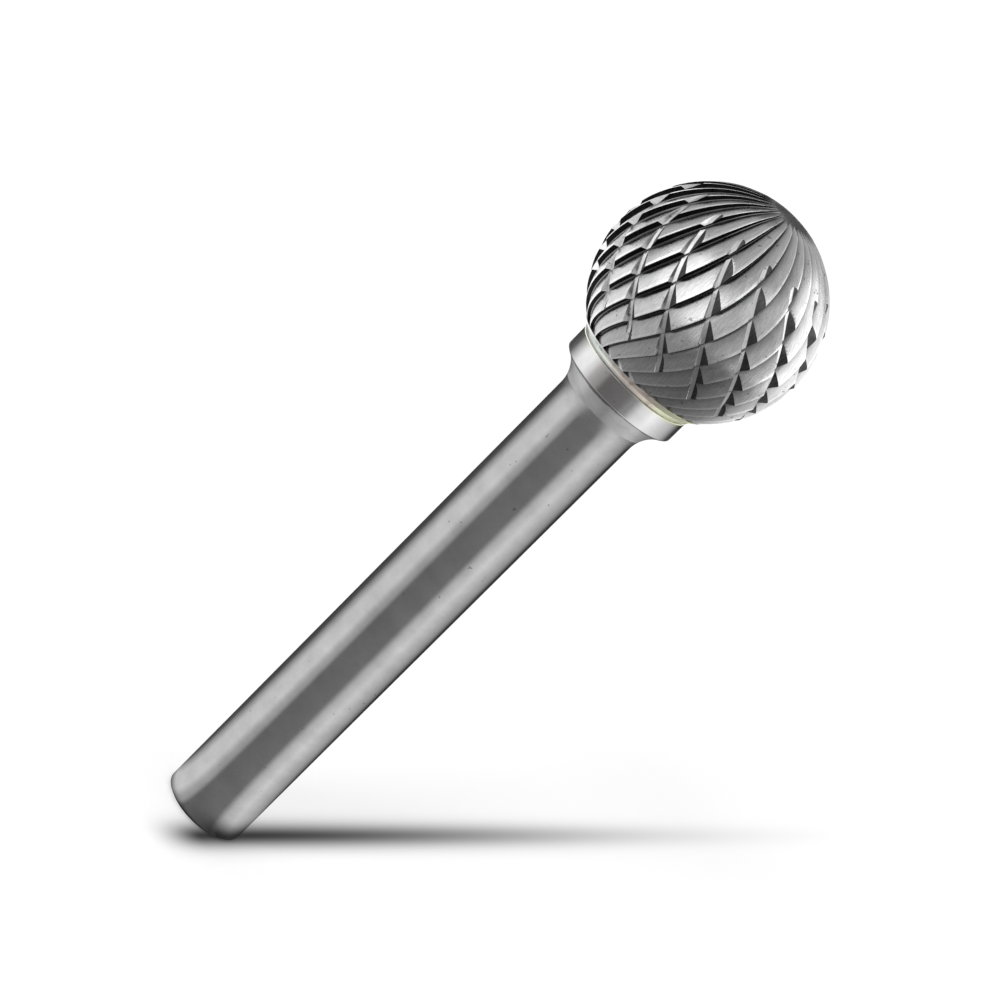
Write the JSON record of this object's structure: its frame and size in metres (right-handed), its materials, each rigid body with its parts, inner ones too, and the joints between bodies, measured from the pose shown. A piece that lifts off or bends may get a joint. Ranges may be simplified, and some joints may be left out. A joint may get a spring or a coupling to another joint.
{
  "type": "rotary burr",
  "caption": "Ball-shaped rotary burr: a fluted carbide ball with chip breakers, brazed to the collar of a straight ground steel shank for a collet.",
  "frame": {"origin": "centre of the shank's flat end face, which is also the bottom centre of the bounding box", "axes": "+Z along the burr's axis from the shank's end to the cutting end; +X and +Y are square to it, and no tooth is singled out"},
  "size_m": [0.0158, 0.0158, 0.0587],
  "materials": {
    "shank_steel": "satin",
    "braze": "satin",
    "carbide": "satin"
  },
  "bodies": {
    "root": {"steel_shank": "shank_steel", "braze_joint": "braze", "carbide_head": "carbide"}
  },
  "joints": []
}
